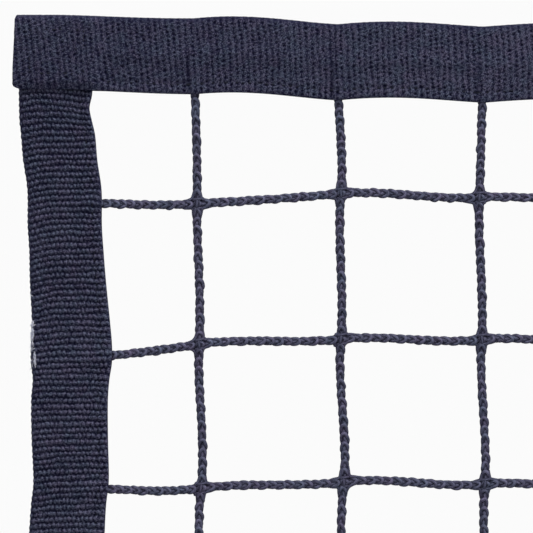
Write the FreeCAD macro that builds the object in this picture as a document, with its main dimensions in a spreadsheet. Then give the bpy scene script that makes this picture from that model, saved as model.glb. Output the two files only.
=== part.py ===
"""Net panel for a small tennis court: knotless square netting in a frame of folded webbing.

The net stands in the XZ plane with its length along X, its front face towards -Y and
the court level at Z = 0. The origin is at the middle of its lower edge. All sizes are
in millimetres.

The netting is laid out from its border cords, which lie at mid width in the bands:
every other cord is a whole number of meshes away from them.
"""
import FreeCAD, Part
import os
import Sketcher

DRIVING_SIZES = {
    "mesh_pitch": 45.0,
    "mesh_columns": 66,
    "mesh_rows": 17,
    "uprights_per_group": 5,
    "cord_diameter": 3.0,
    "band_width": 24.0,
    "tape_thickness": 1.2,
    "cord_play": 0.1,
    "ply_play": 0.1,
    "end_overhang": 1.5,
    "corner_margin": 1.5,
    "thread_diameter": 0.5,
    "seam_inset": 3.0,
    "channel_width": 0.7,
    "box_stitch_length": 17.0,
    "box_stitch_height": 14.0,
}

# Sizes that follow from the driving ones, as expressions of the document.
NET_LENGTH = "(Sizes.mesh_columns * Sizes.mesh_pitch)"
NET_HEIGHT = "(Sizes.mesh_rows * Sizes.mesh_pitch)"
CORD_RADIUS = "(Sizes.cord_diameter / 2)"
THREAD_RADIUS = "(Sizes.thread_diameter / 2)"
HALF_BAND = "(Sizes.band_width / 2)"
CORD_GAP = f"({CORD_RADIUS} + Sizes.cord_play)"
BAND_SURFACE = f"({CORD_GAP} + Sizes.tape_thickness)"
CORNER_GAP = f"({BAND_SURFACE} + Sizes.ply_play)"
CORNER_SURFACE = f"({CORNER_GAP} + Sizes.tape_thickness)"
PANEL_HEIGHT = f"({NET_HEIGHT} + Sizes.band_width)"
BAND_END = f"({NET_LENGTH} / 2 + {HALF_BAND} + Sizes.end_overhang)"
CORNER_LENGTH = "(Sizes.band_width + Sizes.end_overhang + Sizes.corner_margin)"
CORNER_START = f"({BAND_END} - {CORNER_LENGTH})"
STEP_START = f"({CORNER_START} - Sizes.tape_thickness)"
SIDE_BAND_LENGTH = f"({PANEL_HEIGHT} - 2 * {CORNER_SURFACE})"
RUN_FOLD_INSIDE = "(Sizes.ply_play + Sizes.tape_thickness)"
SEAM_DEPTH = "(Sizes.band_width - Sizes.seam_inset)"
SEAM_TO_BORDER = f"({SEAM_DEPTH} - {HALF_BAND})"

Y_AXIS = FreeCAD.Vector(0, 1, 0)
Z_AXIS = FreeCAD.Vector(0, 0, 1)
UPRIGHT = FreeCAD.Rotation()
TURNED_ROUND = FreeCAD.Rotation(Z_AXIS, 180)
ALONG_LENGTH = FreeCAD.Rotation(Y_AXIS, 90)
ALONG_LENGTH_FOLD_DOWN = FreeCAD.Rotation(Y_AXIS, -90)

doc = FreeCAD.newDocument("TennisNet")
sheet = doc.addObject("Spreadsheet::Sheet", "Sizes")
for row, (alias, value) in enumerate(DRIVING_SIZES.items(), start=1):
    sheet.set(f"A{row}", alias)
    sheet.set(f"B{row}", str(value))
    sheet.setAlias(f"B{row}", alias)
doc.recompute()

sub_parts = []


def place(piece, label, rotation, **position):
    """Names a sub-part, turns it and binds its position to the sizes."""
    piece.Label = label
    piece.Placement = FreeCAD.Placement(FreeCAD.Vector(), rotation)
    for axis, expression in position.items():
        piece.setExpression(f"Placement.Base.{axis}", expression)
    sub_parts.append(piece)


def origin_plane(body, role):
    """One of the body's own origin planes or axes."""
    return next(item for item in body.Origin.OriginFeatures if item.Role == role)


def new_sketch(body, name, plane, offset=None):
    """A sketch on one of the body's origin planes, moved along its normal by offset."""
    sketch = body.newObject("Sketcher::SketchObject", name)
    sketch.AttachmentSupport = [(origin_plane(body, plane), "")]
    sketch.MapMode = "FlatFace"
    if offset:
        sketch.setExpression("AttachmentOffset.Base.z", offset)
    return sketch


def constrain_size(sketch, name, expression, *constraint):
    """Adds a dimension to the sketch and binds it to an expression."""
    index = sketch.addConstraint(Sketcher.Constraint(*constraint))
    sketch.renameConstraint(index, name)
    sketch.setExpression(f"Constraints.{name}", expression)


def new_pad(body, name, sketch, length, side_type="One side"):
    """Pads a sketch by a length that is an expression."""
    pad = body.newObject("PartDesign::Pad", name)
    pad.Profile = sketch
    pad.SideType = side_type
    pad.setExpression("Length", length)
    return pad


def draw_folded_section(sketch, gap, surface, outside="0", inside="Sizes.tape_thickness"):
    """Section of tape folded in half around a cord.

    The fold is near the sketch's origin and the two plies reach along +X to the tape's
    edges. gap and surface are the distances from the middle plane to the plies' inner and
    outer faces, and outside and inside say where along X the fold's two faces are.
    """
    start, end, centre = 1, 2, 3
    width, outer, inner = 24.0, 2.8, 1.6

    def line(x1, y1, x2, y2):
        ends = FreeCAD.Vector(x1, y1), FreeCAD.Vector(x2, y2)
        return sketch.addGeometry(Part.LineSegment(*ends))

    def fold(middle, radius):
        circle = Part.Circle(FreeCAD.Vector(middle, 0), Z_AXIS, radius)
        return sketch.addGeometry(Part.ArcOfCircle(circle, 1.5708, 4.7124))

    outer_back = line(outer, outer, width, outer)
    edge_back = line(width, outer, width, inner)
    inner_back = line(width, inner, outer, inner)
    inner_fold = fold(outer, inner)
    inner_front = line(outer, -inner, width, -inner)
    edge_front = line(width, -inner, width, -outer)
    outer_front = line(width, -outer, outer, -outer)
    outer_fold = fold(outer, outer)

    joined = [(outer_back, end, edge_back, start), (edge_back, end, inner_back, start),
              (inner_front, end, edge_front, start), (edge_front, end, outer_front, start)]
    for first, first_point, second, second_point in joined:
        sketch.addConstraint(Sketcher.Constraint("Coincident", first, first_point,
                                                 second, second_point))
    smooth = [(inner_back, end, inner_fold, start), (inner_fold, end, inner_front, start),
              (outer_front, end, outer_fold, end), (outer_fold, start, outer_back, start)]
    for first, first_point, second, second_point in smooth:
        sketch.addConstraint(Sketcher.Constraint("Tangent", first, first_point,
                                                 second, second_point))
    for flat in (outer_back, inner_back, inner_front, outer_front):
        sketch.addConstraint(Sketcher.Constraint("Horizontal", flat))
    for tape_edge in (edge_back, edge_front):
        sketch.addConstraint(Sketcher.Constraint("Vertical", tape_edge))
    for arc in (inner_fold, outer_fold):
        sketch.addConstraint(Sketcher.Constraint("PointOnObject", arc, centre, -1))
    sketch.addConstraint(Sketcher.Constraint("Vertical", edge_back, start, edge_front, end))

    constrain_size(sketch, "outer_radius", surface, "Radius", outer_fold, outer)
    constrain_size(sketch, "inner_radius", gap, "Radius", inner_fold, inner)
    constrain_size(sketch, "outer_centre", f"{outside} + {surface}",
                   "DistanceX", -1, start, outer_fold, centre, outer)
    constrain_size(sketch, "inner_centre", f"{inside} + {gap}",
                   "DistanceX", -1, start, inner_fold, centre, outer)
    constrain_size(sketch, "band_width", "Sizes.band_width",
                   "DistanceX", -1, start, edge_back, start, width)


def draw_rectangle(sketch, centre_x, centre_y, width, height, name):
    """A rectangle with its centre and sides given as expressions."""
    corners = [FreeCAD.Vector(*corner) for corner in ((8, 1), (9, 1), (9, 3), (8, 3))]
    first = sketch.GeometryCount
    for index in range(4):
        sketch.addGeometry(Part.LineSegment(corners[index], corners[(index + 1) % 4]))
    for index in range(4):
        sketch.addConstraint(Sketcher.Constraint("Coincident", first + index, 2,
                                                 first + (index + 1) % 4, 1))
        direction = "Horizontal" if index % 2 == 0 else "Vertical"
        sketch.addConstraint(Sketcher.Constraint(direction, first + index))
    constrain_size(sketch, f"{name}_left", f"{centre_x} - {width} / 2",
                   "DistanceX", -1, 1, first, 1, 8)
    constrain_size(sketch, f"{name}_bottom", f"{centre_y} - {height} / 2",
                   "DistanceY", -1, 1, first, 1, 1)
    constrain_size(sketch, f"{name}_width", width, "DistanceX", first, 1, first, 2, 1)
    constrain_size(sketch, f"{name}_height", height,
                   "DistanceY", first + 1, 1, first + 1, 2, 2)


def start_folded_tape(name, length, *fold):
    """A band of folded tape along Z, with a sunk channel on each face for its seam."""
    body = doc.addObject("PartDesign::Body", name)
    section = new_sketch(body, name + "_section", "XY_Plane")
    draw_folded_section(section, CORD_GAP, BAND_SURFACE, *fold)
    new_pad(body, name + "_run", section, length, "Symmetric")
    channels = new_sketch(body, name + "_channels", "XY_Plane")
    for side, sign in (("back", ""), ("front", "-")):
        # The rectangle's middle is on the tape's face, so half of it is in the tape.
        draw_rectangle(channels, SEAM_DEPTH, f"({sign}{BAND_SURFACE})", "Sizes.channel_width",
                       "(2 * Sizes.thread_diameter)", side)
    cut = body.newObject("PartDesign::Pocket", name + "_seam_channels")
    cut.Profile = channels
    cut.SideType = "Symmetric"
    cut.Type = "ThroughAll"
    return body


def add_corner_ends(body):
    """Opens both ends of a long band out, so that they go over the side bands.

    The thicker ends' fold stands ply_play proud of the fold between them.
    """
    name = body.Name
    step = new_sketch(body, name + "_step_section", "XY_Plane", STEP_START)
    draw_folded_section(step, CORD_GAP, CORNER_SURFACE, inside=RUN_FOLD_INSIDE)
    step_pad = new_pad(body, name + "_step", step, "Sizes.tape_thickness")
    corner = new_sketch(body, name + "_corner_section", "XY_Plane", CORNER_START)
    draw_folded_section(corner, CORNER_GAP, CORNER_SURFACE)
    corner_pad = new_pad(body, name + "_corner", corner, CORNER_LENGTH)
    both_ends = body.newObject("PartDesign::Mirrored", name + "_both_ends")
    both_ends.Originals = [step_pad, corner_pad]
    both_ends.MirrorPlane = (origin_plane(body, "XY_Plane"), [""])
    body.Tip = both_ends


def make_long_band(label, rotation, height):
    """The head or foot band, with its fold at the panel's edge."""
    body = start_folded_tape(label, f"2 * {STEP_START}", "Sizes.ply_play", RUN_FOLD_INSIDE)
    add_corner_ends(body)
    place(body, label, rotation, z=height)


def make_side_band(label, rotation, edge):
    """A side band, whose two ends lie inside the head and foot bands."""
    body = start_folded_tape(label, SIDE_BAND_LENGTH)
    place(body, label, rotation, x=edge, z=f"{PANEL_HEIGHT} / 2")


def make_cord(label, radius, length, rotation, **position):
    """A straight cord or thread that starts at the position given."""
    cord = doc.addObject("Part::Cylinder", label)
    cord.setExpression("Radius", radius)
    cord.setExpression("Height", length)
    place(cord, label, rotation, **position)


def make_upright_group(label, first_column):
    """Neighbouring upright cords of the netting, one mesh apart."""
    body = doc.addObject("PartDesign::Body", label)
    section = new_sketch(body, label + "_section", "XY_Plane")
    circle = section.addGeometry(Part.Circle(FreeCAD.Vector(), Z_AXIS, 1.5))
    section.addConstraint(Sketcher.Constraint("Coincident", circle, 3, -1, 1))
    constrain_size(section, "cord_radius", CORD_RADIUS, "Radius", circle, 1.5)
    pad = new_pad(body, label + "_first", section, NET_HEIGHT)
    row = body.newObject("PartDesign::LinearPattern", label + "_row")
    row.Originals = [pad]
    row.Direction = (origin_plane(body, "X_Axis"), [""])
    row.Mode = "Spacing"
    row.setExpression("Offset", "Sizes.mesh_pitch")
    row.setExpression("Occurrences", "Sizes.uprights_per_group")
    body.Tip = row
    place(body, label, UPRIGHT, z=HALF_BAND,
          x=f"{first_column} * Sizes.mesh_pitch - {NET_LENGTH} / 2")


def make_corner_stitch(label, column_side, middle_height):
    """A box of stitches through a corner, its thread lying on both faces."""
    body = doc.addObject("PartDesign::Body", label)
    outline = new_sketch(body, label + "_outline", "XZ_Plane", CORNER_SURFACE)
    sides = "Sizes.box_stitch_length", "Sizes.box_stitch_height"
    draw_rectangle(outline, "0", "0", *sides, "outer")
    inner_sides = [f"({side} - 2 * Sizes.thread_diameter)" for side in sides]
    draw_rectangle(outline, "0", "0", *inner_sides, "inner")
    front = new_pad(body, label + "_front", outline, "Sizes.thread_diameter")
    both_faces = body.newObject("PartDesign::Mirrored", label + "_both_faces")
    both_faces.Originals = [front]
    both_faces.MirrorPlane = (origin_plane(body, "XZ_Plane"), [""])
    body.Tip = both_faces
    place(body, label, UPRIGHT, x=f"{column_side} * {NET_LENGTH} / 2", z=middle_height)


# Bands of folded webbing.
make_long_band("head_band", ALONG_LENGTH, PANEL_HEIGHT)
make_long_band("foot_band", ALONG_LENGTH_FOLD_DOWN, "0")
SIDE_EDGE = f"({NET_LENGTH} / 2 + {HALF_BAND})"
make_side_band("left_side_band", UPRIGHT, f"-{SIDE_EDGE}")
make_side_band("right_side_band", TURNED_ROUND, SIDE_EDGE)

# Border cords, inside the bands.
LEFT_BORDER = f"-{NET_LENGTH} / 2"
HEAD_BORDER = f"{NET_HEIGHT} + {HALF_BAND}"
make_cord("head_border_cord", CORD_RADIUS, NET_LENGTH, ALONG_LENGTH,
          x=LEFT_BORDER, z=HEAD_BORDER)
make_cord("foot_border_cord", CORD_RADIUS, NET_LENGTH, ALONG_LENGTH,
          x=LEFT_BORDER, z=HALF_BAND)
make_cord("left_border_cord", CORD_RADIUS, NET_HEIGHT, UPRIGHT, x=LEFT_BORDER, z=HALF_BAND)
make_cord("right_border_cord", CORD_RADIUS, NET_HEIGHT, UPRIGHT,
          x=f"{NET_LENGTH} / 2", z=HALF_BAND)

# Netting cords between the borders.
for course in range(1, int(sheet.mesh_rows)):
    make_cord(f"cross_cord_{course:02d}", CORD_RADIUS, NET_LENGTH, ALONG_LENGTH,
              x=LEFT_BORDER, z=f"{HALF_BAND} + {course} * Sizes.mesh_pitch")
group_size = int(sheet.uprights_per_group)
for number, column in enumerate(range(1, int(sheet.mesh_columns), group_size), start=1):
    make_upright_group(f"upright_cords_{number:02d}", column)

# Seams: a thread on each face of each band, flush in its channel.
LONG_SEAM = f"2 * {STEP_START}"
SIDE_SEAM = f"({NET_HEIGHT} - Sizes.band_width)"
THREAD_DEPTH = f"({BAND_SURFACE} - {THREAD_RADIUS})"
for face, sign in (("front", "-"), ("back", "")):
    depth = f"{sign}{THREAD_DEPTH}"
    make_cord(f"head_seam_{face}_thread", THREAD_RADIUS, LONG_SEAM, ALONG_LENGTH,
              x=f"-{STEP_START}", y=depth, z=f"{PANEL_HEIGHT} - {SEAM_DEPTH}")
    make_cord(f"foot_seam_{face}_thread", THREAD_RADIUS, LONG_SEAM, ALONG_LENGTH,
              x=f"-{STEP_START}", y=depth, z=SEAM_DEPTH)
    for side, edge in (("left", "-"), ("right", "")):
        make_cord(f"{side}_seam_{face}_thread", THREAD_RADIUS, SIDE_SEAM, UPRIGHT,
                  x=f"{edge}({NET_LENGTH} / 2 - {SEAM_TO_BORDER})", y=depth,
                  z="Sizes.band_width")

# Boxes of stitches that hold the side bands in the ends of the head and foot bands.
for band, height in (("head", HEAD_BORDER), ("foot", HALF_BAND)):
    for side, column_side in (("left", "-1"), ("right", "1")):
        make_corner_stitch(f"{band}_{side}_corner_stitch", column_side, height)

doc.recompute()

for item in doc.Objects:
    if {"Invalid", "Error"} & set(item.State):
        raise RuntimeError(f"{item.Label} did not compute: {item.State}")
for piece in sub_parts:
    if piece.Shape.isNull() or not piece.Shape.isValid():
        raise RuntimeError(f"{piece.Label} has no valid shape")

os.makedirs("parts", exist_ok=True)
for piece in sub_parts:
    piece.Shape.exportStep(f"parts/{piece.Label}.step")
    solids = len(piece.Shape.Solids)
    print(f"{piece.Label}: {solids} solid(s), {piece.Shape.Volume / 1000:.2f} cm3")
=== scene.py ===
"""Looks of a small court tennis net: knitted square netting edged with folded webbing.

The net stands in the XZ plane with its front towards -Y. Lengths are in metres. Places
along a cord are counted in meshes from the left border (cross cords) or from the foot
border (uprights), and places along a chain of loops in stitches.

The upper left corner, which the camera sees from close by, is made loop by loop and yarn
by yarn. Everything further away has cords that only swell with each loop and webbing with
plain ribs.
"""
import math
import bpy
import numpy as np
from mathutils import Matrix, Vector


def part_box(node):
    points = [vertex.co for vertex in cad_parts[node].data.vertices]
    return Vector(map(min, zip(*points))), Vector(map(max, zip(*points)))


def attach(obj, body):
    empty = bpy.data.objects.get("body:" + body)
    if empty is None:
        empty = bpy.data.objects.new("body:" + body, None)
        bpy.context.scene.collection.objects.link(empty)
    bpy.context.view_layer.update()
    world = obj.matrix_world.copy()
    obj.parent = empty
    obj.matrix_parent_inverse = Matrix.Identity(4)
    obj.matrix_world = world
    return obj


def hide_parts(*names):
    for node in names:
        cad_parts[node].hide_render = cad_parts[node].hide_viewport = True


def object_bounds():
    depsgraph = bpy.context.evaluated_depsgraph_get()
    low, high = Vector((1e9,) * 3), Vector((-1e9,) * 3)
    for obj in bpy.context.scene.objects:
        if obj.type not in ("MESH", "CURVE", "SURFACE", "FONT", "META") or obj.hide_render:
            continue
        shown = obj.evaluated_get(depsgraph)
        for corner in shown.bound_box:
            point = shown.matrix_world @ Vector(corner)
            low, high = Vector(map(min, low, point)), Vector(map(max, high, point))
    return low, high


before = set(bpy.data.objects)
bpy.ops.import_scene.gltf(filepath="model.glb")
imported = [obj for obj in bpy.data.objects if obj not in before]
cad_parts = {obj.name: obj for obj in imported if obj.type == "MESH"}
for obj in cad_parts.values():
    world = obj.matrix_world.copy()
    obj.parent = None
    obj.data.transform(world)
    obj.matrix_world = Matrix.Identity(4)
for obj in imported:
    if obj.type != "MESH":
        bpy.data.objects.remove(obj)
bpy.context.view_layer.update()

MM = 0.001
rng = np.random.default_rng(20)

# ---------------------------------------------------------------- sizes from the frame


def middle(node):
    """Centre of a CAD node's box."""
    low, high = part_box(node)
    return (np.array(low) + np.array(high)) / 2


def numbered(prefix):
    """The CAD nodes whose names are a prefix and a number, in order."""
    return sorted(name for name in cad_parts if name.startswith(prefix))


cross_nodes = numbered("cross_cord_")
upright_nodes = numbered("upright_cords_")
LEFT = middle("left_border_cord")[0]
RIGHT = middle("right_border_cord")[0]
HEAD = middle("head_border_cord")[2]
FOOT = middle("foot_border_cord")[2]
ROWS = len(cross_nodes) + 1
MESH = (HEAD - FOOT) / ROWS
COLUMNS = round((RIGHT - LEFT) / MESH)
UPRIGHTS_PER_NODE = (COLUMNS - 1) // len(upright_nodes)

foot_low, foot_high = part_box("foot_band")
BAND = foot_high[2] - foot_low[2]
BAND_HALF_LENGTH = foot_high[0]
PANEL_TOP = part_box("head_band")[1][2]

# Cords: chains of knitted loops, each loop one stitch long.
STITCHES_PER_MESH = 16
STITCH = MESH / STITCHES_PER_MESH
CORD_RADIUS = 1.4 * MM
STRAND_RADIUS = 0.60 * MM

# Webbing: a plain weave of packed warp ends over thick wefts, which show as ribs. From rib
# to rib, from one crest of the warp to the next, and the thickness of the webbing.
RIB = 1.88 * MM
WARP_CREST = 1.44 * MM
PLY = 1.1 * MM
# Height of its relief, and the share of this that the outside of a fold keeps.
RELIEF = 0.80 * MM
FOLD_RELIEF = 0.25

# Bands: from the middle plane to the face, along a band and where two bands cross, and from
# where the webbing starts to turn over the netting to the outside of its fold.
HALF_THICKNESS = 1.65 * MM
CORNER_HALF_THICKNESS = 3.55 * MM
FOLD_DEPTH = 2.2 * MM

# Sewing: how far a seam is from a band's open edges, the length of a stitch, and the thread.
SEAM_TO_EDGE = 3.0 * MM
SEAM_STITCH = 2.5 * MM
THREAD_RADIUS = 0.20 * MM

# How many meshes from the upper left corner are made loop by loop and yarn by yarn.
CLOSE_MESHES = 4

# ---------------------------------------------------------------- mesh building


class Surface:
    """Points and faces gathered for one piece, with a tone, painted shade included, and a cloth
    position each.
    """

    def __init__(self):
        self.points = []
        self.faces = []
        self.tone = []
        self.lay = []
        self.count = 0

    def add(self, points, tone, lay):
        """Adds a tube through rings of points (rings, sides, 3), with a tone for each point
        (rings, sides) and a cloth position (rings, sides, 2)."""
        rings, sides = points.shape[:2]
        self.points.append(points.reshape(-1, 3))
        self.faces.extend(block + self.count for block in ring_faces(rings, sides))
        self.tone.append(tone.ravel())
        self.lay.append(lay.reshape(-1, 2))
        self.count += rings * sides

    def piece(self, name, material, slot, *nodes):
        """Makes the piece, which stands for the CAD nodes and rides on the net."""
        points = np.concatenate(self.points)
        mesh = bpy.data.meshes.new(name)
        mesh.vertices.add(len(points))
        mesh.vertices.foreach_set("co", points.astype(np.float32).ravel())
        corners = np.concatenate([block.ravel() for block in self.faces])
        sizes = np.concatenate([np.full(len(block), block.shape[1]) for block in self.faces])
        mesh.loops.add(len(corners))
        mesh.loops.foreach_set("vertex_index", corners.astype(np.int32))
        starts = np.concatenate([[0], np.cumsum(sizes)[:-1]])
        mesh.polygons.add(len(sizes))
        mesh.polygons.foreach_set("loop_start", starts.astype(np.int32))
        mesh.polygons.foreach_set("use_smooth", np.ones(len(sizes), bool))
        tone = mesh.attributes.new("tone", "FLOAT", "POINT")
        tone.data.foreach_set("value", np.concatenate(self.tone).astype(np.float32))
        lay = np.concatenate(self.lay)
        lay = np.column_stack([lay, np.zeros(len(lay))])
        cloth = mesh.attributes.new("lay", "FLOAT_VECTOR", "POINT")
        cloth.data.foreach_set("vector", lay.astype(np.float32).ravel())
        mesh.update(calc_edges=True)
        mesh.validate()
        mesh.materials.append(material)
        made = bpy.data.objects.new(name, mesh)
        bpy.context.collection.objects.link(made)
        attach(made, "root")
        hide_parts(*nodes)
        return made


def ring_faces(rings, sides):
    """Quads between rings of points, each ring closed on itself, with a cap at each end."""
    ring = np.arange(rings - 1)[:, None] * sides
    side = np.arange(sides)[None, :]
    following = (side + 1) % sides
    quads = np.stack([ring + side, ring + following, ring + sides + following,
                      ring + sides + side], axis=-1).reshape(-1, 4)
    last = (rings - 1) * sides
    caps = np.stack([np.arange(sides)[::-1], last + np.arange(sides)])
    return [quads, caps]


def in_depth(flat, depth=0.0):
    """Points (n, 2) of the XZ plane as points in space."""
    return np.column_stack([flat[:, 0], np.broadcast_to(depth, len(flat)), flat[:, 1]])


def carried_frames(path):
    """Two normals for each point of a path, carried along it without twist."""
    tangents = np.gradient(path, axis=0)
    tangents /= np.linalg.norm(tangents, axis=1, keepdims=True)
    normals = np.empty_like(path)
    normal = np.cross(tangents[0], [0.0, 1.0, 0.03])
    for index, tangent in enumerate(tangents):
        normal = normal - tangent * np.dot(normal, tangent)
        normal /= math.sqrt(np.dot(normal, normal))
        normals[index] = normal
    return normals, np.cross(tangents, normals)


def add_tube(surface, path, radius, sides, tone):
    """A round strand along a path, paler where it faces out of the net: painted shade on its other
    sides.
    """
    first, second = carried_frames(path)
    angles = np.arange(sides) * 2 * math.pi / sides
    spread = np.cos(angles)[:, None] * first[:, None] + np.sin(angles)[:, None] * second[:, None]
    radii = np.broadcast_to(radius, len(path))
    points = path[:, None] + radii[:, None, None] * spread
    run = np.concatenate([[0], np.cumsum(np.linalg.norm(np.diff(path, axis=0), axis=1))])
    lay = np.stack(np.broadcast_arrays(angles * STRAND_RADIUS / MM, run[:, None] / MM), axis=-1)
    # Painted shade: the sides that face along the net, towards neighbouring strands, are darker.
    tones = np.broadcast_to(tone, len(path))[:, None] * (0.35 + 0.65 * np.abs(spread[..., 1]) ** 2)
    surface.add(points, tones, lay)


def smooth_path(points, steps):
    """Catmull-Rom curve through a row of points, with a number of steps between each two."""
    before, after = 2 * points[0] - points[1], 2 * points[-1] - points[-2]
    held = np.vstack([before, points, after])
    along = np.arange(steps)[None, :, None] / steps
    p0, p1, p2, p3 = (held[shift:len(held) - 3 + shift, None] for shift in range(4))
    curve = 0.5 * (2 * p1 + (p2 - p0) * along + (2 * p0 - 5 * p1 + 4 * p2 - p3) * along ** 2
                   + (3 * p1 - p0 - 3 * p2 + p3) * along ** 3)
    return np.vstack([curve.reshape(-1, points.shape[1]), points[-1:]])


def curve_through(stations):
    """A smooth curve through rows of numbers: a function from the first number to the rest."""
    curve = smooth_path(np.array(stations, float), 6)
    return lambda value: [np.interp(value, curve[:, 0], column) for column in curve.T[1:]]


def step_between(value, low, high):
    """0 below low, 1 above high, and a smooth step between."""
    share = np.clip((value - low) / (high - low), 0, 1)
    return share * share * (3 - 2 * share)


def scatter(*cells):
    """An even but irregular number from 0 to 1 for each cell."""
    mixed = sum(np.sin((cell + 1.7) * (12.9898 + 65.23 * index)) for index, cell in enumerate(cells))
    return np.mod(np.abs(mixed) * 4375.85, 1.0)


def patchy(across, along, size, which):
    """An irregular number from -1 to 1 that changes smoothly over patches of a size."""
    column, row = np.floor(across / size), np.floor(along / size)
    right, up = across / size - column, along / size - row
    right, up = right * right * (3 - 2 * right), up * up * (3 - 2 * up)
    low = (1 - right) * scatter(column, row, which) + right * scatter(column + 1, row, which)
    high = (1 - right) * scatter(column, row + 1, which) + right * scatter(column + 1, row + 1, which)
    return 2 * ((1 - up) * low + up * high) - 1


# ---------------------------------------------------------------- how the net hangs

# Shifts in millimetres, to the right and upwards, of the crossings nearest the corner from
# an even grid, and the slopes at which their cross cord and upright run through them. The
# first number of each pair counts uprights from the left border, which is 0, and the second
# counts cross cords from the head border.
CORNER_CROSSINGS = {
    (1, 0): (-1.5, 1.25, 0.05, 0), (2, 0): (-1.1, -0.7, 0.05, 0.05), (3, 0): (-0.1, -1.45, 0.05, 0.05),
    (1, 1): (-0.7, -0.5, 0.06, 0.01), (2, 1): (-0.3, 2.7, 0.09, 0.08), (3, 1): (-1.5, 1.5, 0.06, 0.04),
    (1, 2): (-0.1, 0.1, 0.15, 0.05), (2, 2): (-0.3, 1.7, 0.11, 0.08), (3, 2): (-0.8, 1.6, 0.11, 0.06),
    (1, 3): (0.5, -0.4, 0.13, 0.11), (2, 3): (0.6, 1.6, 0.12, 0.10), (3, 3): (0.2, 0.9, 0.09, 0.07),
    (0, 1): (0, -0.1, 0, 0), (0, 2): (0, -4.3, 0.05, 0), (0, 3): (0, -0.2, 0, 0),
}
# How far, in millimetres, the head band lies above an even line at the uprights nearest the
# corner, and how far its middle is arched up between them.
HEAD_BAND_SHIFTS = (2.45, 1.2, -0.7, -1.45, -0.6)
HEAD_BAND_ARCHES = (-0.1, 1.1, 1.1, 0.8)
# The left band near the corner: how far below the head border a place is, how far the
# band's middle is pulled towards the net there, and the band's width, in millimetres.
LEFT_BAND_SHAPE = (
    (0, -0.5, 23.2), (10, -0.5, 23.2), (15, -0.9, 22.2), (19, -0.5, 22.8), (24, 0.3, 23.4),
    (32, 1.0, 23.4), (41, 2.3, 23.4), (52, 2.4, 23.4), (60, 2.9, 23.4), (70, 3.4, 24.0),
    (82, 4.3, 24.6), (90, 4.5, 25.6), (96, 4.5, 25.5), (101, 4.4, 24.2), (108, 3.9, 24.2),
    (120, 4.0, 24.1), (133, 4.4, 23.8), (142, 3.5, 23.7), (160, 2.6, 24.0), (190, 1.5, 24.0),
    (240, 0.6, 24.0),
)


def loose_line(count, spread):
    """Gentle seeded shifts along a band, nought at both ends."""
    raw = rng.normal(0, spread, count + 1)
    eased = np.convolve(np.pad(raw, 1, mode="edge"), [0.3, 0.4, 0.3], "valid")
    return eased * np.sin(np.pi * np.arange(count + 1) / count) ** 0.5


head_shift = loose_line(COLUMNS, 0.9 * MM)
foot_shift = loose_line(COLUMNS, 0.9 * MM)
left_shift = loose_line(ROWS, 0.8 * MM)
right_shift = loose_line(ROWS, 0.8 * MM)
head_shift[:len(HEAD_BAND_SHIFTS)] = np.array(HEAD_BAND_SHIFTS) * MM
left_band_shape = curve_through(LEFT_BAND_SHAPE)
for row in range(ROWS - 5, ROWS + 1):
    left_shift[row] = left_band_shape((ROWS - row) * MESH / MM)[0] * MM

grid_shape = (COLUMNS + 1, ROWS + 1)
cross_x = LEFT + MESH * np.arange(COLUMNS + 1)[:, None] + rng.normal(0, 0.5 * MM, grid_shape)
cross_z = FOOT + MESH * np.arange(ROWS + 1)[None, :] + rng.normal(0, 0.6 * MM, grid_shape)
rise = rng.normal(0.08, 0.03, grid_shape)
lean = rng.normal(0.07, 0.02, grid_shape)
cross_x[0] = LEFT + left_shift
cross_x[-1] = RIGHT + right_shift
cross_z[:, 0] = FOOT + foot_shift
cross_z[:, -1] = HEAD + head_shift
for (column, row_down), (right, up, slope, tilt) in CORNER_CROSSINGS.items():
    row = ROWS - row_down
    if column > 0:
        cross_x[column, row] = LEFT + MESH * column + right * MM
    cross_z[column, row] = FOOT + MESH * row + up * MM
    rise[column, row] = slope
    lean[column, row] = tilt


def cord_line(crossings, directions):
    """The line of a cord through its crossings: a function from meshes to place and course."""

    def at(meshes):
        meshes = np.asarray(meshes, float)
        index = np.clip(meshes.astype(int), 0, len(crossings) - 2)
        share = (meshes - index)[:, None]
        start, end = crossings[index], crossings[index + 1]
        leave, arrive = directions[index], directions[index + 1]
        square, cube = share ** 2, share ** 3
        place = ((2 * cube - 3 * square + 1) * start + (cube - 2 * square + share) * leave
                 + (3 * square - 2 * cube) * end + (cube - square) * arrive)
        course = ((6 * square - 6 * share) * (start - end) + (3 * square - 4 * share + 1) * leave
                  + (3 * square - 2 * share) * arrive)
        return place, course / np.linalg.norm(course, axis=1, keepdims=True)

    return at


def cross_line(row):
    """Line of a cross cord, from the left border to the right one."""
    crossings = np.column_stack([cross_x[:, row], cross_z[:, row]])
    directions = MESH * np.column_stack([np.ones(COLUMNS + 1), rise[:, row]])
    return cord_line(crossings, directions)


def upright_line(column):
    """Line of an upright, from the foot border to the head one."""
    crossings = np.column_stack([cross_x[column], cross_z[column]])
    directions = MESH * np.column_stack([lean[column], np.ones(ROWS + 1)])
    return cord_line(crossings, directions)


# ---------------------------------------------------------------- netting

# One loop of the chain and the bar that leads to the next: along the cord in stitches,
# then across it and behind its middle in millimetres.
LOOP = np.array([
    (0.00, -0.15, -0.25), (0.22, -0.52, 0.30), (0.62, -0.84, 0.10), (1.06, -0.82, -0.30),
    (1.40, -0.40, -0.66), (1.34, 0.30, -0.72), (1.00, 0.80, -0.40), (0.60, 0.86, 0.06),
    (0.26, 0.50, 0.32), (0.08, 0.10, 0.10), (0.45, 0.20, -0.30),
])
LOOP_STEPS = 3
STRAND_SIDES = 7
# Spread of the random differences between loops, in stitches and millimetres.
UNEVEN = 0.05
# Two yarns twist through the loops and fill them: how far from their middle these are,
# across and in depth, and how far behind the cord's middle that is, in millimetres.
CORE_ACROSS = 0.66
CORE_IN_DEPTH = 0.26
CORE_BEHIND = 0.12
CORE_RADIUS = 0.74 * MM
# The cores' low tone is painted shade inside the loops.
CORE_TONE = 0.34


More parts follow.
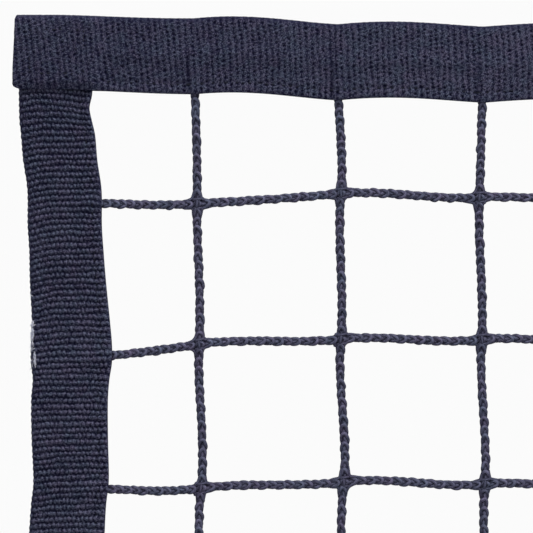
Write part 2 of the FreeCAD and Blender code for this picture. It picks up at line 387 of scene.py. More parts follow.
def chain(surface, line, start, end):
    """A chain of knitted loops along a cord, leaning to either side in turn, over its core."""
    count = round((end - start) * STITCHES_PER_MESH)
    number = np.arange(count)
    side = np.where(number % 2 == 0, 1.0, -1.0)
    size = (1 + 0.04 * side + rng.normal(0, UNEVEN, count))[:, None]
    every_point = (count, len(LOOP))
    loops = np.empty((*every_point, 3))
    loops[..., 0] = number[:, None] + LOOP[:, 0] + rng.normal(0, UNEVEN, every_point)
    across = (LOOP[:, 1] * size + 0.08) * side[:, None]
    loops[..., 1] = across + rng.normal(0, UNEVEN, every_point)
    loops[..., 2] = LOOP[:, 2] * size + rng.normal(0, 1.2 * UNEVEN, every_point)
    route = smooth_path(loops.reshape(-1, 3), LOOP_STEPS)
    # Painted shade: strands set back behind the cord's middle are darker, those in front paler.
    paler_in_front = np.clip(0.62 - 0.38 * route[:, 2], 0.2, 1)
    add_tube(surface, along_cord(line, start, route), STRAND_RADIUS, STRAND_SIDES, paler_in_front)
    stitches = np.arange(0, count + 0.5, 0.5)
    for turn in (0, math.pi):
        angle = 0.5 * math.pi * stitches + turn
        core = np.column_stack([stitches, CORE_ACROSS * np.cos(angle),
                                CORE_BEHIND + CORE_IN_DEPTH * np.sin(angle)])
        add_tube(surface, along_cord(line, start, core), CORE_RADIUS, STRAND_SIDES, CORE_TONE)


def along_cord(line, start, route):
    """Points of a route given along a cord in stitches, across it and behind it in mm."""
    place, course = line(start + route[:, 0] / STITCHES_PER_MESH)
    across = np.column_stack([course[:, 1], -course[:, 0]])
    return in_depth(place + across * route[:, 1:2] * MM, route[:, 2] * MM)


# Sides of a cord seen from afar, its rings in each stitch, and how much it swells.
FAR_SIDES = 6
FAR_RINGS = 3
FAR_SWELL = 0.10


def rope(surface, line, start, end):
    """The same chain seen from afar: a cord whose sides swell with each loop in turn."""
    rings = round((end - start) * STITCHES_PER_MESH * FAR_RINGS) + 1
    meshes = np.linspace(start, end, rings)
    place, course = line(meshes)
    angles = np.arange(FAR_SIDES) * 2 * math.pi / FAR_SIDES
    stitches = meshes[:, None] * STITCHES_PER_MESH
    swell = np.sin(2 * math.pi * stitches + angles)
    radius = CORD_RADIUS * (0.97 + FAR_SWELL * swell)
    across = np.column_stack([course[:, 1], -course[:, 0]])
    flat = place[:, None] + across[:, None] * (radius * np.cos(angles))[..., None]
    depth = radius * np.sin(angles)
    points = np.stack([flat[..., 0], depth, flat[..., 1]], axis=-1)
    lay = np.stack(np.broadcast_arrays(angles * CORD_RADIUS / MM, stitches * STITCH / MM), axis=-1)
    # Painted shade: the tone follows the swell, darker where the cord dips between loops.
    surface.add(points, 0.5 + 0.4 * swell, lay)


# A crossing has a strand around each of its four corners, whose reach along the cords and
# whose bend's distance from their middles are random, in millimetres, and bars across it.
TIE_REACH = (3.2, 5.0)
TIE_BEND = (1.4, 1.8)
TIE_RADIUS = 0.56 * MM
TIE_TONE = 0.60
BAR_RADIUS = 0.50 * MM
BAR_TONE = 0.62


def crossing(surface, column, row):
    """Strands that tie a cross cord and an upright together where they meet."""
    centre = np.array([cross_x[column, row], cross_z[column, row]])
    along = np.array([1.0, rise[column, row]])
    upwards = np.array([lean[column, row], 1.0])

    def strand(route, steps, radius, tone):
        """A strand on each face along a route across, up and in depth, in millimetres."""
        flat = centre + MM * (route[:, :1] * along + route[:, 1:2] * upwards)
        for face in (1, -1):
            path = smooth_path(in_depth(flat, MM * route[:, 2] * face), steps)
            add_tube(surface, path, radius, STRAND_SIDES, tone)

    for right, up in ((1, 1), (1, -1), (-1, 1), (-1, -1)):
        reach = rng.uniform(*TIE_REACH)
        bend = rng.uniform(*TIE_BEND)
        quarter = np.array([(reach, 0.80, 0.1), (reach - 1.4, 1.15, -0.3), (bend, bend, -0.45),
                            (1.15, reach - 1.4, -0.3), (0.80, reach, 0.1)])
        strand(quarter * (right, up, 1), 4, TIE_RADIUS, TIE_TONE)
    slant = 1 if (column + row) % 2 else -1
    bars = (((-1.9, 1.35), (1.9, 1.55), 0.95),
            ((0.15 * slant, 1.8), (-0.25 * slant, -1.9), 1.25),
            ((-1.7, -1.45), (1.9, -1.35), 0.80))
    share = np.linspace(0, 1, 6)[:, None]
    for bar_start, bar_end, height in bars:
        flat_route = (1 - share) * bar_start + share * bar_end
        hump = -height * np.sin(np.pi * share) ** 0.6
        strand(np.hstack([flat_route, hump]), 3, BAR_RADIUS, BAR_TONE)


def make_netting(material):
    """All cords of the netting, a piece for each CAD node."""

    def finish(surface, node):
        surface.piece(f"knitted_{node}", material, "netting_cord", node)

    first_close_row = ROWS - CLOSE_MESHES
    for row, node in enumerate(cross_nodes, start=1):
        surface = Surface()
        line = cross_line(row)
        near = CLOSE_MESHES if row > first_close_row else 0
        if near:
            chain(surface, line, 0, near)
            for column in range(1, near):
                crossing(surface, column, row)
        rope(surface, line, near, COLUMNS)
        finish(surface, node)
    for number, node in enumerate(upright_nodes):
        surface = Surface()
        first = 1 + number * UPRIGHTS_PER_NODE
        for column in range(first, first + UPRIGHTS_PER_NODE):
            line = upright_line(column)
            top = first_close_row if column < CLOSE_MESHES else ROWS
            rope(surface, line, 0, top)
            if top < ROWS:
                chain(surface, line, top, ROWS)
        finish(surface, node)
    borders = (("head_border_cord", cross_line(ROWS), COLUMNS),
               ("foot_border_cord", cross_line(0), COLUMNS),
               ("left_border_cord", upright_line(0), ROWS),
               ("right_border_cord", upright_line(COLUMNS), ROWS))
    for node, line, length in borders:
        surface = Surface()
        rope(surface, line, 0, length)
        finish(surface, node)


# ---------------------------------------------------------------- webbing bands

# Half the widths of the ridges over a crossing cord and over the border cord and of the
# groove along the seam, and the heights of the ridges, the groove and the cloth's slow waves.
CORD_RIDGE = 2.2 * MM
BORDER_RIDGE = 3.0 * MM
SEAM_GROOVE = 0.9 * MM
RIDGE_HEIGHT = 0.42 * MM
GROOVE_DEPTH = 0.16 * MM
WAVE_HEIGHT = 0.06 * MM
# Creases beside the uprights' ends: how far they are from the cord, half their width, and
# their depth as a share of the ribs' height.
CREASE_TO_CORD = 2.0 * MM
CREASE = 0.6 * MM
# The crease's depth also darkens the cloth there by the same share: painted shade.
CREASE_DEPTH = 0.45
# The cloth is darker around the upper left corner, painted shade for light that falls off
# towards it: by this share at the corner, fading out between these distances from it.
CORNER_SHADE = 0.24
CORNER_SHADE_FADES = (-60 * MM, 170 * MM)


def plain_ribs(along):
    """Height, between 0 and 1, of the plain ribs that stand for the weave from afar."""
    return 0.5 + 0.4 * np.cos(2 * np.pi * along / RIB)


def weave(across, along, crests):
    """Height of the webbing's yarns, from 0 in a gap to 1 on a crest, and their tone.

    crests gives the height for a place in ribs along the cloth and in crests across it.
    Ribs and rows of crests wander over several yarns and differ from each to the next."""
    place = along / RIB + 0.14 * patchy(across, along, 3.1 * MM, 1)
    place = place + 0.12 * patchy(across, along, 0.9 * MM, 2)
    column = across / WARP_CREST + 0.30 * patchy(across, along, 5.3 * MM, 3)
    column = column + 0.16 * patchy(across, along, 0.8 * MM, 4)
    height = crests(place, column) + 0.20 * patchy(across, along, 0.36 * MM, 5)
    mottle = 0.95 * patchy(across, along, 0.26 * MM, 6) + 0.12 * patchy(across, along, 6 * MM, 7)
    # The tone follows the height, painted shade in the gaps between yarns, with random patches of
    # paler and darker yarn.
    return height, height * (1 + mottle)


def folded_section(front_points, back_points):
    """Points round the section of a folded band: its front, its fold, its back and then the
    inside of the fold.

    Gives their distances from the open edges, how far they face the front (-1) or the back
    (1), whether they are on the outside, how far they face out of the fold, and their places
    across the flat tape, counted from the front edge."""
    straight = BAND - FOLD_DEPTH
    turn = np.linspace(0, np.pi, front_points // 5 + 5)[1:-1]
    front = np.linspace(0, straight, front_points)
    back = np.linspace(0, straight, back_points)[::-1]
    inside = np.linspace(0, straight, 3)
    inner_turn = np.linspace(np.pi, 0, 5)[1:-1]
    inner_fold = FOLD_DEPTH - PLY
    across = np.concatenate([front, straight + FOLD_DEPTH * np.sin(turn), back,
                             inside, straight + inner_fold * np.sin(inner_turn), inside[::-1]])
    facing = np.concatenate([-np.ones(len(front)), -np.cos(turn), np.ones(len(back)),
                             np.ones(len(inside)), -np.cos(inner_turn), -np.ones(len(inside))])
    outside = len(front) + len(turn) + len(back)
    outer = np.arange(len(across)) < outside
    out_of_fold = np.concatenate([np.zeros(len(front)), np.sin(turn),
                                  np.zeros(len(across) - len(front) - len(turn))])
    taped = np.concatenate([front, straight + FOLD_DEPTH * turn,
                            2 * straight + FOLD_DEPTH * np.pi - back,
                            np.zeros(len(across) - outside)])
    return across, facing, outer, out_of_fold, taped


class Band:
    """A band of webbing folded over the edge of the netting.

    axis is the direction along the band and inwards the one from its fold to its edges.
    shifts are those of its middle line towards the fold, one at each crossing cord, and
    arches are the heights of the arches between those. A share set on the class darkens its
    fold: painted shade that tones down the light on the fold's rounded outside.
    """

    # Painted shade on the fold, as a share of its tone.
    fold_painted_shade = 0.3

    def __init__(self, axis, inwards, origin, shifts, arches, crossings):
        self.axis = np.array(axis, float)
        self.inwards = np.array(inwards, float)
        self.origin = np.array(origin, float)
        self.shifts = shifts
        self.arches = arches
        self.crossings = crossings

    def crests(self, place, column):
        """Round ribs, with crests of yarn that alternate from rib to rib like bricks."""
        ribs = np.cos(2 * np.pi * place)
        bricks = np.cos(np.pi * place) * np.cos(2 * np.pi * column)
        return 0.57 + 0.33 * ribs + 0.36 * bricks

    def middle_shift(self, along):
        """Shift of the middle line towards the fold: pulled in at cords, arched between."""
        index = np.clip(np.searchsorted(self.crossings, along) - 1, 0, len(self.crossings) - 2)
        start, end = self.crossings[index], self.crossings[index + 1]
        share = np.clip((along - start) / (end - start), 0, 1)
        eased = share * share * (3 - 2 * share)
        arch = np.sin(np.pi * share ** 0.85) ** 1.15 * self.arches[index]
        return (1 - eased) * self.shifts[index] + eased * self.shifts[index + 1] + arch

    def width(self, along):
        """Width of the folded cloth."""
        return np.full_like(along, BAND)

    def lean_of_ribs(self, along):
        """How far a rib runs along the band for its run across."""
        return np.full_like(along, 0.05)

    def bow_of_ribs(self, along):
        """How far the middle of a rib is ahead of its ends."""
        return (0.15 + 0.35 * np.sin(along * 83.0)) * MM

    def lag_of_ribs(self, along):
        """How far a rib's end at the fold is behind the rest of it."""
        return np.zeros_like(along)

    def creases(self, along, across):
        """Depth of the creases beside the cords inside, as a share of the ribs' height."""
        return np.zeros((len(along), len(across)))

    def thickness(self, along, across):
        """Half the thickness over a place, across being measured from the open edges."""
        to_cord = np.abs(along[:, None] - self.crossings[None, :]).min(axis=1)
        over_cord = np.exp(-(to_cord / CORD_RIDGE) ** 2)[:, None]
        over_cord = over_cord * step_between(-across, -0.62 * BAND, -0.48 * BAND)[None, :]
        over_border = np.exp(-((across - BAND / 2) / BORDER_RIDGE) ** 2)[None, :]
        ridges = 1 - (1 - 0.9 * over_border) * (1 - over_cord)
        groove = np.exp(-((across - SEAM_TO_EDGE) / SEAM_GROOVE) ** 2)[None, :]
        waves = np.sin(along * 61.0 + 1.0)[:, None] * np.sin(across * 190.0)[None, :]
        shape = RIDGE_HEIGHT * ridges - GROOVE_DEPTH * groove + WAVE_HEIGHT * waves
        return HALF_THICKNESS + shape

    def end_shape(self, along, across):
        """How far the cloth is pushed along the band near its ends."""
        return np.zeros((len(along), len(across)))

    def surface(self, start, end, spacing, front_points, back_points, fine):
        """A closed shell of the folded cloth between two places along the band.

        A fine surface shows single yarns on its front."""
        along = np.linspace(start, end, round((end - start) / spacing) + 1)
        across, facing, outer, out_of_fold, taped = folded_section(front_points, back_points)
        # The tape is thinner at its edges, and the inside of the fold is a ply below its face.
        half = self.thickness(along, across)
        selvedge = 0.35 * PLY * np.clip(1 - across / (0.8 * MM), 0, 1) ** 2
        half = half - np.where(outer, selvedge, PLY - selvedge)
        skew = self.lean_of_ribs(along)[:, None] * (across - BAND / 2)
        bow = self.bow_of_ribs(along)[:, None] * np.sin(np.pi * across / BAND)
        near_fold = np.clip((across / BAND - 0.6) / 0.4, 0, 1)
        lag = self.lag_of_ribs(along)[:, None] * near_fold ** 2
        woven_along = along[:, None] + skew - bow + lag
        height = plain_ribs(woven_along)
        # The tone follows the ribs' height: painted shade in the grooves between them.
        tone = height
        if fine:
            close_height, close_tone = weave(taped, woven_along, self.crests)
            to_back = step_between(taped, BAND, BAND + 1.2 * FOLD_DEPTH)
            height = (1 - to_back) * close_height + to_back * height
            tone = (1 - to_back) * close_tone + to_back * tone
        creases = self.creases(along, across)
        # Painted shade: the creases darken the tone by the same share they take off the height.
        height, tone = height - creases, tone * (1 - creases)
        fade = 0.35 + 0.65 * step_between(across, 0, 1.0 * MM)
        relief = np.where(outer, RELIEF * (height - 0.5) * fade, 0)

        width = self.width(along)[:, None]
        to_fold = (across / BAND - 0.5) * width + self.middle_shift(along)[:, None]
        to_fold = to_fold + FOLD_RELIEF * relief * out_of_fold
        depth = facing * (half + relief)
        along_now = along[:, None] + self.end_shape(along, across)
        points = self.origin + along_now[..., None] * self.axis - to_fold[..., None] * self.inwards
        points[..., 1] += depth
        lay = np.stack(np.broadcast_arrays(taped / WARP_CREST, woven_along / RIB), axis=-1)
        # Painted shade, darker towards the upper left corner.
        from_corner = np.hypot(points[..., 0] - LEFT, points[..., 2] - HEAD)
        corner_shade = CORNER_SHADE * (1 - step_between(from_corner, *CORNER_SHADE_FADES))
        # Painted shade on the rounded outside of the fold, against the light it catches.
        fold_shade = self.fold_painted_shade * out_of_fold
        # Inside the fold the tone is 0.2: painted shade.
        tone = np.where(outer, tone * (1 - corner_shade) * (1 - fold_shade), 0.2)
        made = Surface()
        made.add(points, tone, lay)
        return made


class LongBand(Band):
    """The head or the foot band, which also goes over the ends of the side bands."""

    # Painted shade on the fold, as a share of its tone.
    fold_painted_shade = 0.7

    def crests(self, place, column):
        """Ribs almost level from wear, with small gaps that alternate from rib to rib like bricks."""
        rib = np.round(place)
        from_gap = column + rib / 2
        narrow = np.cos(np.pi * (place - rib)) ** 2.8
        deep = 0.35 + 0.65 * scatter(rib, np.round(from_gap), 3.0)
        gaps = narrow * deep * (0.5 + 0.5 * np.cos(2 * np.pi * from_gap))
        return 0.57 - 0.50 * gaps - 0.12 * np.cos(2 * np.pi * place)

    def width(self, along):
        """A little narrower over the side bands, whose thickness takes up some cloth."""
        from_end = BAND_HALF_LENGTH - np.abs(along)
        return BAND * (0.985 + 0.017 * step_between(from_end, 25 * MM, 65 * MM))

    def lean_of_ribs(self, along):
        return 0.05 + 0.09 * (1 - step_between(along + BAND_HALF_LENGTH, 10 * MM, 90 * MM))

    def creases(self, along, across):
        """A crease to the left of each upright, which fades out towards the fold."""
        to_cord = along[:, None] - self.crossings[None, 1:-1]
        beside = np.exp(-((to_cord + CREASE_TO_CORD) / CREASE) ** 2).max(axis=1)
        from_fold = step_between(-across, -0.9 * BAND, -0.45 * BAND)
        return CREASE_DEPTH * beside[:, None] * from_fold[None, :]

    def thickness(self, along, across):
        """Thicker over the side bands."""
        from_end = BAND_HALF_LENGTH - np.abs(along)
        corner = 1 - step_between(from_end, BAND + 0.5 * MM, BAND + 5.5 * MM)
        plain = super().thickness(along, across)
        over_side_band = CORNER_HALF_THICKNESS - 0.75 * MM * (1 - step_between(across, 0, 3 * MM))
        return plain + corner[:, None] * (over_side_band - plain)

    def end_shape(self, along, across):
        """Cut ends, in millimetres: leaning, uneven from yarn to yarn and with round corners."""
        near_end = np.exp(-(BAND_HALF_LENGTH - np.abs(along)) / (2.0 * MM))[:, None]
        share = across / BAND
        at_fold = 0.6 * np.clip((share - 0.94) / 0.06, 0, 1) ** 2
        at_edges = 2.2 * np.clip(1 - share / 0.07, 0, 1) ** 2
        yarns = 0.25 * (scatter(np.round(2 * across / WARP_CREST)) - 0.5)
        leaning = 1.0 * (0.5 - share)
        return -np.sign(along)[:, None] * near_end * (at_fold + at_edges + yarns - leaning) * MM


class SideBand(Band):
    """A side band, whose ends are inside the long bands."""

    def lean_of_ribs(self, along):
        return -0.06 + 0.03 * np.sin(along * 30.0)


class LeftBand(SideBand):
    """The left band, pulled out of line near the head."""

    def lean_of_ribs(self, along):
        below_head = PANEL_TOP - BAND - along
        at_head = 1 - step_between(below_head, 3 * MM, 14 * MM)
        return 0.02 - 0.08 * at_head + 0.02 * np.sin(along * 90.0)

    def bow_of_ribs(self, along):
        return (0.25 + 0.15 * np.sin(along * 90.0)) * MM

    def lag_of_ribs(self, along):
        below_head = PANEL_TOP - BAND - along
        return (1.4 - 1.1 * step_between(below_head, 78 * MM, 92 * MM)) * MM

    def near_corner(self, along):
        return step_between(along, HEAD - 240 * MM, HEAD - 150 * MM)

    def middle_shift(self, along):
        pulled = -left_band_shape((HEAD - along) / MM)[0] * MM
        near = self.near_corner(along)
        return near * pulled + (1 - near) * super().middle_shift(along)

    def width(self, along):
        near = self.near_corner(along)
        return near * left_band_shape((HEAD - along) / MM)[1] * MM + (1 - near) * BAND


close_right = LEFT + CLOSE_MESHES * MESH
close_low = HEAD - CLOSE_MESHES * MESH
head_arches = rng.normal(1.0, 0.2, COLUMNS) * MM
head_arches[:len(HEAD_BAND_ARCHES)] = np.array(HEAD_BAND_ARCHES) * MM
foot_arches = rng.normal(0.5, 0.2, COLUMNS) * MM
side_arches = rng.normal(0.5, 0.15, (2, ROWS)) * MM
head = LongBand((1, 0, 0), (0, 0, -1), (0, 0, HEAD), head_shift, head_arches, cross_x[:, -1])
foot = LongBand((1, 0, 0), (0, 0, 1), (0, 0, FOOT), -foot_shift, foot_arches, cross_x[:, 0])
left = LeftBand((0, 0, 1), (1, 0, 0), (LEFT, 0, 0), -left_shift, side_arches[0], cross_z[0])
right = SideBand((0, 0, 1), (-1, 0, 0), (RIGHT, 0, 0), right_shift, side_arches[1], cross_z[-1])

# Distance between rings of points along a band, and points across its front and its back.
FINE_MESH = (RIB / 7, 93, 12)
FAR_MESH = (RIB / 3, 10, 9)
LONGEST_FAR_PIECE = 1.5


def make_band(band, node, start, end, close_start, close_end, material):
    """A band in a few pieces: yarn by yarn where the camera is close, coarser elsewhere."""
    spans = []
    if close_start < close_end:
        spans.append((close_start, close_end, True))
    for far_start, far_end in ((start, close_start), (close_end, end)):
        pieces = math.ceil((far_end - far_start) / LONGEST_FAR_PIECE)
        cuts = np.linspace(far_start, far_end, pieces + 1)
        spans += [(low, high, False) for low, high in zip(cuts[:-1], cuts[1:])]
    for number, (low, high, fine) in enumerate(spans):
        spacing, front_points, back_points = FINE_MESH if fine else FAR_MESH
        surface = band.surface(low, high, spacing, front_points, back_points, fine)
        piece = surface.piece(f"{node}_webbing_{number}", material, "webbing", node)


def make_bands(material):
    """The four bands, of which the upper left corner's ends are made yarn by yarn."""
    low = FOOT - BAND / 2 + CORNER_HALF_THICKNESS
    high = HEAD + BAND / 2 - CORNER_HALF_THICKNESS
    end = BAND_HALF_LENGTH
    make_band(head, "head_band", -end, end, -end, close_right, material)
    make_band(foot, "foot_band", -end, end, end, end, material)
    make_band(left, "left_side_band", low, high, close_low, high, material)
    make_band(right, "right_side_band", low, high, high, high, material)


# ---------------------------------------------------------------- sewing

STEPS_PER_STITCH = 4
# How far the thread's middle is below the cloth's face on top of a stitch and at its ends.
THREAD_SUNK = 0.06 * MM
STITCH_DEPTH = 0.75 * MM
THREAD_TONE = 0.6


def band_places(band, along, across, depth):
    """Points on a band at a depth from its middle plane."""
    share = across / BAND - 0.5
    to_fold = share * band.width(along) + band.middle_shift(along)
    points = band.origin + along[:, None] * band.axis - to_fold[:, None] * band.inwards
    points[:, 1] += depth
    return points


def thread_depth(run):
    """How far sewing thread is below the cloth's face, as it dips into it at each stitch."""
    on_top = np.abs(np.sin(np.pi * run / SEAM_STITCH)) ** 0.5
    return THREAD_SUNK + STITCH_DEPTH * (1 - on_top)


def seam(band, face, start, end):
    """Path of the sewing thread along one face of a band."""
    steps = round((end - start) / SEAM_STITCH * STEPS_PER_STITCH)
    along = np.linspace(start, end, steps + 1)
    across = np.full_like(along, SEAM_TO_EDGE)
    half = band.thickness(along, np.array([SEAM_TO_EDGE]))[:, 0]
    return band_places(band, along, across, face * (half - thread_depth(along)))


def make_seams(material):
    """A thread along each face of each band."""
    side_low = FOOT + BAND / 2
    side_high = HEAD - BAND / 2
    long_end = BAND_HALF_LENGTH - BAND - 5 * MM
    rows = ((head, "head", -long_end, long_end), (foot, "foot", -long_end, long_end),
            (left, "left", side_low, side_high), (right, "right", side_low, side_high))
    for band, name, start, end in rows:
        for face_name, face in (("front", -1), ("back", 1)):
            surface = Surface()
            add_tube(surface, seam(band, face, start, end), THREAD_RADIUS, 4, THREAD_TONE)
            surface.piece(f"{name}_seam_{face_name}", material, "sewing_thread",
                          f"{name}_seam_{face_name}_thread")


def make_corner_stitches(material):
    """The box of stitches at each corner, on both faces."""
    corners = (("head_left", head), ("head_right", head), ("foot_left", foot), ("foot_right", foot))
    for name, band in corners:
        node = f"{name}_corner_stitch"
        low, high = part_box(node)
        size = np.array([high[0] - low[0], high[2] - low[2]])
        surface = Surface()
        outline = np.array([(-1, -1), (1, -1), (1, 1), (-1, 1), (-1, -1)]) / 2 * size
        lengths = np.abs(np.diff(outline, axis=0)).sum(axis=1)
        parts = []
        for index, length in enumerate(lengths):
            share = np.arange(0, length, SEAM_STITCH / STEPS_PER_STITCH)[:, None] / length
            parts.append((1 - share) * outline[index] + share * outline[index + 1])
        flat = np.vstack(parts)
        along = middle(node)[0] + flat[:, 0]
        across = BAND / 2 + flat[:, 1]
        sunk = thread_depth(np.arange(len(flat)) * SEAM_STITCH / STEPS_PER_STITCH)
        for face in (-1, 1):
            places = band_places(band, along, across, face * (CORNER_HALF_THICKNESS - sunk))
            add_tube(surface, places, THREAD_RADIUS, 5, THREAD_TONE)
        surface.piece(f"{name}_corner_box", material, "sewing_thread", node)


# ---------------------------------------------------------------- frayed fold

# Oval patches where the fold is frayed: how far below the head border their middles are, in
# millimetres, how far round the fold these are from the front face, half the ovals' lengths
# both ways, and how many fibres stand up there.
FRAYED = ((74.4, 1.2, 0.4, 0.3, 4), (83.3, 1.0, 1.0, 0.35, 50), (86.6, 0.98, 1.9, 0.38, 110),
          (90.4, 0.9, 1.6, 0.35, 26), (94.7, 0.43, 2.4, 0.13, 75), (96.0, 1.1, 1.5, 0.3, 12))
# Lengths and radii of the fibres, and how far from the band's middle plane they start, as a
# share of its half thickness.
FIBRE_LENGTH = (0.3 * MM, 0.8 * MM)
FIBRE_RADIUS = (0.05 * MM, 0.11 * MM)
FIBRE_POINTS = 5
FIBRE_START = 1.35


def make_fray(material):
    """Broken yarn ends where the left band's fold has been rubbed through."""
    surface = Surface()
    straight = BAND - FOLD_DEPTH
    for below_head, round_fold, half_height, half_turn, count in FRAYED:
        for _ in range(count):
            bearing = rng.uniform(0, 2 * math.pi)
            from_middle = math.sqrt(rng.uniform())
            height = HEAD - (below_head + half_height * from_middle * math.sin(bearing)) * MM
            turn = round_fold + half_turn * from_middle * math.cos(bearing)
            across = straight + FOLD_DEPTH * math.sin(turn)
            depth = -FIBRE_START * HALF_THICKNESS * math.cos(turn)
            start = band_places(left, np.array([height]), np.array([across]), depth)[0]
            outwards = np.array([-math.sin(turn), -math.cos(turn), 0.0])
            away = rng.uniform(0.05, 0.4) * outwards + rng.normal(0, 0.25, 3)
            curl = rng.normal(0, 0.35, 3) + np.array([0.1, 0.0, rng.choice((-0.8, 0.6))])
            length = rng.uniform(*FIBRE_LENGTH)
            share = np.linspace(0, 1, FIBRE_POINTS)[:, None]
            path = start + length * (share * away + share ** 2 * curl)
            radius = rng.uniform(*FIBRE_RADIUS)
            tone = rng.uniform(0.9, 2.5)
            add_tube(surface, path, radius, 4, tone)
    surface.piece("left_side_band_fray", material, "webbing", "left_side_band")


# ---------------------------------------------------------------- materials

# Radius of the round floor, which its paint follows too.
FLOOR_RADIUS = 3.9


def new_material(name, roughness, sheen):
    """A material, its node tree and its Principled shader."""
    material = bpy.data.materials.new(name)
    material.use_nodes = True
    tree = material.node_tree
    shader = tree.nodes["Principled BSDF"]
    shader.inputs["Roughness"].default_value = roughness
    shader.inputs["Sheen Weight"].default_value = sheen
    shader.inputs["Sheen Roughness"].default_value = 0.45
    shader.inputs["Sheen Tint"].default_value = (0.72, 0.76, 1.0, 1.0)
    shader.inputs["Specular IOR Level"].default_value = 0.10
    return material, tree, shader


def add_node(tree, kind, links=(), **settings):
    """A node with settings on itself or its inputs, and inputs linked from other nodes."""
    node = tree.nodes.new(kind)
    for key, value in settings.items():
        if hasattr(node, key):
            setattr(node, key, value)
        else:
            node.inputs[key.replace("_", " ")].default_value = value
    for name, output in links:
        tree.links.new(output, node.inputs[name])
    return node


def yarn_fibres(tree, stretch):
    """Fine streaks along the yarns, stretch being their fineness across and along these."""
    lay = add_node(tree, "ShaderNodeAttribute", attribute_name="lay")
    mapping = add_node(tree, "ShaderNodeMapping", [("Vector", lay.outputs["Vector"])])
    mapping.inputs["Scale"].default_value = (*stretch, 1.0)
    return add_node(tree, "ShaderNodeTexNoise", [("Vector", mapping.outputs["Vector"])],
                    Scale=1.0, Detail=3.0).outputs["Fac"]


def scaled(tree, first, second):
    """Product of two values."""
    product = add_node(tree, "ShaderNodeMath", operation="MULTIPLY")
    tree.links.new(first, product.inputs[0])
    tree.links.new(second, product.inputs[1])
    return product.outputs[0]


def colour_between(tree, value, first, second):
    """Colour that goes with a value from one stop to another, each a value and a colour."""
    ramp = add_node(tree, "ShaderNodeValToRGB", [("Fac", value)])
    for element, (position, colour) in zip(ramp.color_ramp.elements, (first, second)):
        element.position = position
        element.color = (*colour, 1)
    return ramp.outputs["Color"]


def cloth_colour(tree, fibres, contrast, dark, light, tints, tint_scale):
    """Colour from the yarns' tone and the contrast of their fibres, in patches of dye."""
    tone = add_node(tree, "ShaderNodeAttribute", attribute_name="tone")
    streak = add_node(tree, "ShaderNodeMapRange", [("Value", fibres)])
    streak.inputs["From Min"].default_value = 0.3
    streak.inputs["From Max"].default_value = 0.7
    streak.inputs["To Min"].default_value = 1 - contrast
    streak.inputs["To Max"].default_value = 1 + contrast
    streaked = scaled(tree, tone.outputs["Fac"], streak.outputs["Result"])
    yarns = colour_between(tree, streaked, (0.12, dark), (1.0, light))
    place = add_node(tree, "ShaderNodeTexCoord")
    patches = add_node(tree, "ShaderNodeTexNoise", [("Vector", place.outputs["Object"])],
                       Scale=tint_scale, Detail=4.0, Roughness=0.65)
    dye = colour_between(tree, patches.outputs["Fac"], (0.35, tints[0]), (0.65, tints[1]))
    # A mix node's colours are its inputs 6 and 7 and its output 2.
    mixed = add_node(tree, "ShaderNodeMix", data_type="RGBA", blend_type="MULTIPLY")
    mixed.inputs["Factor"].default_value = 1.0
    tree.links.new(yarns, mixed.inputs[6])
    tree.links.new(dye, mixed.inputs[7])
    return mixed.outputs[2]


def add_bump(tree, shader, height, strength, distance):
    """Bump of a shader from a height."""
    bump = add_node(tree, "ShaderNodeBump", [("Height", height)])
    bump.inputs["Strength"].default_value = strength
    bump.inputs["Distance"].default_value = distance
    tree.links.new(bump.outputs["Normal"], shader.inputs["Normal"])


def yarn_material(name, roughness, sheen, dark, light, tints, tint_scale, stretch=(6.0, 3.0),
                  contrast=0.7, fibre_height=0.1 * MM):
    """A material of dyed yarns, from the colour of their gaps to that of their crests, picked by a
    tone that carries painted shade.
    """
    material, tree, shader = new_material(name, roughness, sheen)
    fibres = yarn_fibres(tree, stretch)
    colour = cloth_colour(tree, fibres, contrast, dark, light, tints, tint_scale)
    tree.links.new(colour, shader.inputs["Base Color"])
    add_bump(tree, shader, fibres, 0.5, fibre_height)
    return material


def webbing_material():
    return yarn_material("navy_webbing", roughness=0.85, sheen=0.03, dark=(0.006, 0.006, 0.026),
                         light=(0.099, 0.102, 0.157), tints=((0.90, 1.05, 1.05), (1.08, 0.97, 1.05)),
                         tint_scale=260.0, stretch=(4.5, 6.0), contrast=1.25, fibre_height=0.6 * MM)


def cord_material():
    return yarn_material("navy_netting_cord", roughness=0.65, sheen=0.04, dark=(0.005, 0.0045, 0.016),
                         light=(0.142, 0.142, 0.222), tints=((0.90, 1.04, 1.04), (1.08, 0.96, 1.04)),
                         tint_scale=180.0, stretch=(2.4, 0.6), contrast=0.6)


def thread_material():
    return yarn_material("navy_sewing_thread", roughness=0.75, sheen=0.03, dark=(0.006, 0.006, 0.012),
                         light=(0.040, 0.043, 0.070), tints=((0.95, 1.0, 1.0), (1.0, 1.0, 1.0)),
                         tint_scale=120.0)


def fray_material():
    return yarn_material("pale_broken_yarn", roughness=0.8, sheen=0.2, dark=(0.20, 0.20, 0.30),
                         light=(0.80, 0.80, 0.90), tints=((0.9, 0.95, 1.0), (1.0, 1.0, 1.0)),
                         tint_scale=300.0)


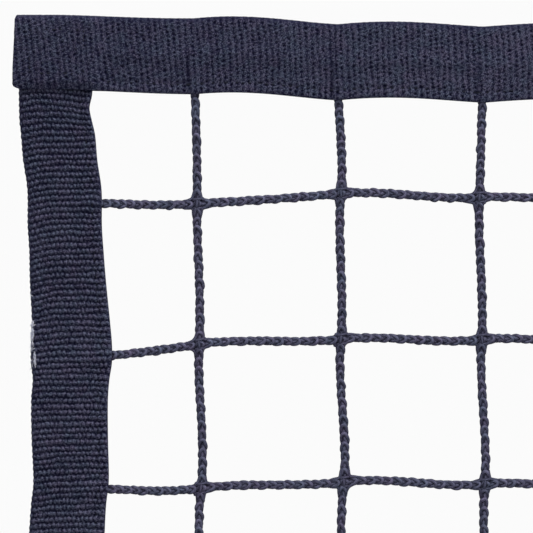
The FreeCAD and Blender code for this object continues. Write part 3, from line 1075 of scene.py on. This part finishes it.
def floor_material():
    """Matt paint, paler towards the rim, where less light falls on it."""
    material, tree, shader = new_material("pale_studio_floor", 0.9, 0.0)
    place = add_node(tree, "ShaderNodeTexCoord")
    mottle = add_node(tree, "ShaderNodeTexNoise", [("Vector", place.outputs["Object"])],
                      Scale=2.0, Detail=5.0)
    mapping = add_node(tree, "ShaderNodeMapping", [("Vector", place.outputs["Object"])])
    mapping.inputs["Scale"].default_value = (1 / FLOOR_RADIUS, 1 / FLOOR_RADIUS, 1.0)
    from_rim = add_node(tree, "ShaderNodeTexGradient", [("Vector", mapping.outputs["Vector"])],
                        gradient_type="SPHERICAL")
    mottled = add_node(tree, "ShaderNodeMath", operation="MULTIPLY_ADD")
    tree.links.new(mottle.outputs["Fac"], mottled.inputs[0])
    mottled.inputs[1].default_value = 0.1
    tree.links.new(from_rim.outputs["Fac"], mottled.inputs[2])
    grey = colour_between(tree, mottled.outputs["Value"], (0.1, (0.95, 0.95, 0.95)),
                          (0.8, (0.60, 0.60, 0.60)))
    tree.links.new(grey, shader.inputs["Base Color"])
    return material


# ---------------------------------------------------------------- studio

# The width of net that the camera sees, and the middle of its view from the netting's upper
# left corner.
VIEW_WIDTH = 168.5 * MM
VIEW_CENTRE = (66.2 * MM, -65.3 * MM)
LENS_MM = 200
SENSOR_MM = 36

FLOOR_CORNERS = 96
SOFTBOX_SIZE = (5.0, 0.5)
SOFTBOX_HEIGHT = 1.95
# Strength of the white surround as a light, and how much more the camera sees of it.
SURROUND_LIGHT = 0.28
SURROUND_SEEN_MORE = 0.685


def make_floor():
    """A round floor at the net's lowest point."""
    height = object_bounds()[0][2]
    angles = np.arange(FLOOR_CORNERS) * 2 * math.pi / FLOOR_CORNERS
    rim = [(FLOOR_RADIUS * math.cos(a), FLOOR_RADIUS * math.sin(a), height) for a in angles]
    mesh = bpy.data.meshes.new("floor")
    mesh.from_pydata(rim, [], [tuple(range(FLOOR_CORNERS))])
    floor = bpy.data.objects.new("floor", mesh)
    mesh.materials.append(floor_material())
    bpy.context.collection.objects.link(floor)


def add_softbox(name, in_front, power, colour):
    """A long soft light along the net, turned towards the top of the net."""
    lamp = bpy.data.lights.new(name, "AREA")
    lamp.shape = "RECTANGLE"
    lamp.size, lamp.size_y = SOFTBOX_SIZE
    lamp.energy = power
    lamp.color = colour
    softbox = bpy.data.objects.new(name, lamp)
    softbox.location = (0, -in_front, SOFTBOX_HEIGHT)
    softbox.rotation_euler = (math.atan2(in_front, SOFTBOX_HEIGHT - PANEL_TOP), 0, 0)
    bpy.context.collection.objects.link(softbox)


def make_lights():
    """Light from above on both sides, stronger in front, and a white surround."""
    add_softbox("key", 0.5, 56, (1.0, 0.99, 0.97))
    add_softbox("back", -0.6, 22, (0.96, 0.98, 1.0))
    world = bpy.data.worlds.new("studio")
    bpy.context.scene.world = world
    world.use_nodes = True
    tree = world.node_tree
    background = tree.nodes["Background"]
    seen = add_node(tree, "ShaderNodeLightPath")
    strength = add_node(tree, "ShaderNodeMath", operation="MULTIPLY_ADD")
    tree.links.new(seen.outputs["Is Camera Ray"], strength.inputs[0])
    strength.inputs[1].default_value = SURROUND_SEEN_MORE
    strength.inputs[2].default_value = SURROUND_LIGHT
    tree.links.new(strength.outputs[0], background.inputs["Strength"])
    background.inputs["Color"].default_value = (1, 1, 1, 1)


def make_camera():
    """Square on to the net's front, over its upper left corner."""
    camera = bpy.data.cameras.new("camera")
    camera.lens = LENS_MM
    camera.sensor_width = SENSOR_MM
    distance = VIEW_WIDTH * LENS_MM / SENSOR_MM
    seen_from = bpy.data.objects.new("camera", camera)
    seen_from.location = (LEFT + VIEW_CENTRE[0], -distance, HEAD + VIEW_CENTRE[1])
    seen_from.rotation_euler = (math.pi / 2, 0, 0)
    camera.clip_start = 0.01
    camera.clip_end = 100
    bpy.context.collection.objects.link(seen_from)
    bpy.context.scene.camera = seen_from


make_netting(cord_material())
webbing = webbing_material()
make_bands(webbing)
thread = thread_material()
make_seams(thread)
make_corner_stitches(thread)
make_fray(fray_material())
make_floor()
make_lights()
make_camera()
bpy.context.scene.view_settings.view_transform = "Standard"
